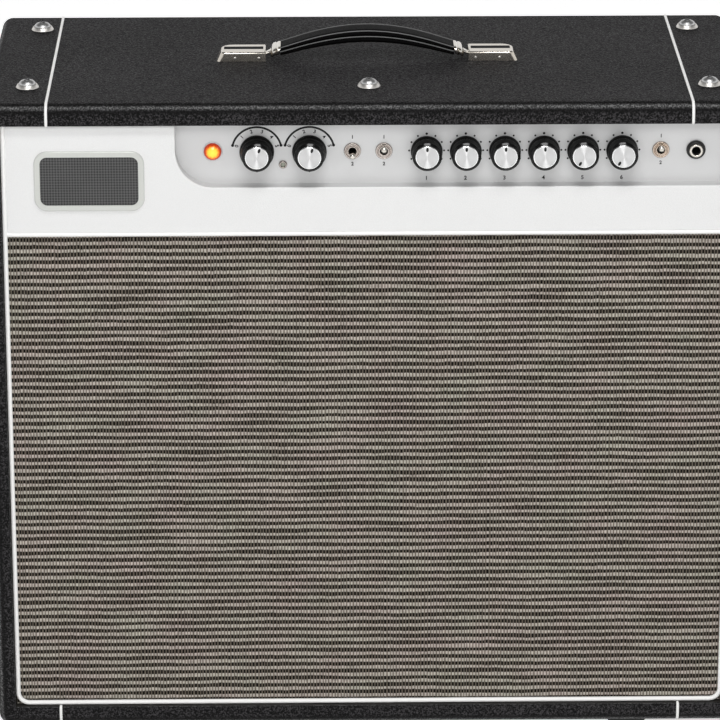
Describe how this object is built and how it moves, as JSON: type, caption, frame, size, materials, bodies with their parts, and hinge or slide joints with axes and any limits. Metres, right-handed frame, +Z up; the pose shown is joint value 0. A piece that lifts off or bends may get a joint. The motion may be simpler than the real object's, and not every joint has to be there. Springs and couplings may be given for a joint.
{
  "type": "valve guitar combo amplifier",
  "caption": "Open-back valve combo amplifier: vinyl-covered cabinet with woven grille, notched white fascia, row of knobs and toggles, strap handle, chassis with valves and one loudspeaker.",
  "frame": {"origin": "centre of the bounding box's underside, on the plane of the feet", "axes": "+X to the right seen from the front, +Y from the front to the open back, +Z up"},
  "size_m": [0.61, 0.2855, 0.5719],
  "materials": {
    "black_vinyl": "plywood covered in black grained vinyl",
    "white_vinyl": "board covered in smooth white vinyl",
    "white_piping": "satin white cord piping",
    "grille_cloth": "woven basket cloth, light and dark threads",
    "plywood": "plywood painted dark",
    "rubber": "matte moulded rubber",
    "nickel": "bright nickel plate",
    "grip_vinyl": "black moulded vinyl over spring steel",
    "chassis_steel": "zinc plated sheet",
    "panel_aluminium": "satin silver with black print",
    "amber_lens": "translucent amber lens, lit",
    "black_plastic": "glossy black moulding",
    "painted_steel": "black paint",
    "cone_paper": "dark pressed paper",
    "valve_glass": "clear blown glass"
  },
  "bodies": {
    "cabinet": {"cabinet_shell": "black_vinyl", "upper_rear_panel": "black_vinyl", "lower_rear_panel": "black_vinyl", "fascia_panel": "white_vinyl", "front_piping": "white_piping", "fascia_piping": "white_piping", "cabinet_piping_top_left": "white_piping", "cabinet_piping_top_right": "white_piping", "cabinet_piping_bottom_left": "white_piping", "cabinet_piping_bottom_right": "white_piping", "grille_cloth": "grille_cloth", "baffle_board": "plywood", "foot_front_left": "rubber", "foot_front_right": "rubber", "foot_rear_left": "rubber", "foot_rear_right": "rubber", "handle_cap_left": "nickel", "handle_cap_right": "nickel", "handle_ferrule_left": "nickel", "handle_ferrule_right": "nickel", "pilot_bezel": "nickel", "chassis_screw_front_left": "nickel", "chassis_screw_front_centre": "nickel", "chassis_screw_front_right": "nickel", "chassis_screw_rear_left": "nickel", "chassis_screw_rear_right": "nickel", "handle_grip": "grip_vinyl", "chassis": "chassis_steel", "control_panel": "panel_aluminium", "pilot_jewel": "amber_lens", "input_jack": "black_plastic", "speaker_jack": "black_plastic", "mains_inlet": "black_plastic", "speaker_basket": "painted_steel", "speaker_magnet": "painted_steel", "mains_transformer": "painted_steel", "output_transformer": "painted_steel", "speaker_surround": "cone_paper", "preamp_valve_1": "valve_glass", "preamp_valve_2": "valve_glass", "preamp_valve_3": "valve_glass", "preamp_valve_4": "valve_glass", "power_valve_1": "valve_glass", "power_valve_2": "valve_glass"},
    "attenuator_b": {"attenuator_b_knob": "black_plastic"},
    "attenuator_a": {"attenuator_a_knob": "black_plastic"},
    "presence": {"presence_knob": "black_plastic"},
    "bass": {"bass_knob": "black_plastic"},
    "midrange": {"midrange_knob": "black_plastic"},
    "treble": {"treble_knob": "black_plastic"},
    "volume_b": {"volume_b_knob": "black_plastic"},
    "volume_b_pull": {"volume_b_plunger": "chassis_steel"},
    "volume_a": {"volume_a_knob": "black_plastic"},
    "volume_a_pull": {"volume_a_plunger": "chassis_steel"},
    "voicing_b": {"voicing_b_lever": "nickel"},
    "voicing_a": {"voicing_a_lever": "nickel"},
    "channel": {"channel_lever": "nickel"},
    "power_switch": {"power_switch_lever": "nickel"},
    "standby_switch": {"standby_switch_lever": "nickel"},
    "cone": {"speaker_cone": "cone_paper"}
  },
  "joints": [
    {"name": "attenuator_b_turn", "type": "hinge", "parent": "cabinet", "child": "attenuator_b", "pos_m": [-0.0891, -0.12385, 0.5037], "axis": [0, 1, 0], "range_deg": [-90, 60]},
    {"name": "attenuator_a_turn", "type": "hinge", "parent": "cabinet", "child": "attenuator_a", "pos_m": [-0.0476, -0.12385, 0.5037], "axis": [0, 1, 0], "range_deg": [-90, 60]},
    {"name": "presence_turn", "type": "hinge", "parent": "cabinet", "child": "presence", "pos_m": [0.045, -0.12385, 0.5037], "axis": [0, 1, 0], "range_deg": [-150, 150]},
    {"name": "bass_turn", "type": "hinge", "parent": "cabinet", "child": "bass", "pos_m": [0.0759, -0.12385, 0.5037], "axis": [0, 1, 0], "range_deg": [-150, 150]},
    {"name": "midrange_turn", "type": "hinge", "parent": "cabinet", "child": "midrange", "pos_m": [0.1068, -0.12385, 0.5037], "axis": [0, 1, 0], "range_deg": [-150, 150]},
    {"name": "treble_turn", "type": "hinge", "parent": "cabinet", "child": "treble", "pos_m": [0.1377, -0.12385, 0.5037], "axis": [0, 1, 0], "range_deg": [-150, 150]},
    {"name": "volume_b_pull_out", "type": "slide", "parent": "cabinet", "child": "volume_b_pull", "axis": [0, -1, 0], "range_m": [0, 0.005]},
    {"name": "volume_b_turn", "type": "hinge", "parent": "volume_b_pull", "child": "volume_b", "pos_m": [0.1686, -0.12385, 0.5037], "axis": [0, 1, 0], "range_deg": [0, 300]},
    {"name": "volume_a_pull_out", "type": "slide", "parent": "cabinet", "child": "volume_a_pull", "axis": [0, -1, 0], "range_m": [0, 0.005]},
    {"name": "volume_a_turn", "type": "hinge", "parent": "volume_a_pull", "child": "volume_a", "pos_m": [0.1995, -0.12385, 0.5037], "axis": [0, 1, 0], "range_deg": [0, 300]},
    {"name": "voicing_b_flip", "type": "hinge", "parent": "cabinet", "child": "voicing_b", "pos_m": [-0.0136, -0.11745, 0.5037], "axis": [-1, 0, 0], "range_deg": [0, 24]},
    {"name": "voicing_a_flip", "type": "hinge", "parent": "cabinet", "child": "voicing_a", "pos_m": [0.0113, -0.11745, 0.5037], "axis": [1, 0, 0], "range_deg": [0, 24]},
    {"name": "channel_flip", "type": "hinge", "parent": "cabinet", "child": "channel", "pos_m": [0.2303, -0.11745, 0.5037], "axis": [1, 0, 0], "range_deg": [0, 24]},
    {"name": "power_switch_flip", "type": "hinge", "parent": "cabinet", "child": "power_switch", "pos_m": [-0.16, 0.12205, 0.498], "axis": [-1, 0, 0], "range_deg": [0, 24]},
    {"name": "standby_switch_flip", "type": "hinge", "parent": "cabinet", "child": "standby_switch", "pos_m": [-0.115, 0.12205, 0.498], "axis": [-1, 0, 0], "range_deg": [0, 24]},
    {"name": "cone_travel", "type": "slide", "parent": "cabinet", "child": "cone", "axis": [0, -1, 0], "range_m": [-0.0015, 0.0015], "stiffness_N_per_m": 2500, "deforming": ["speaker_surround"]}
  ]
}
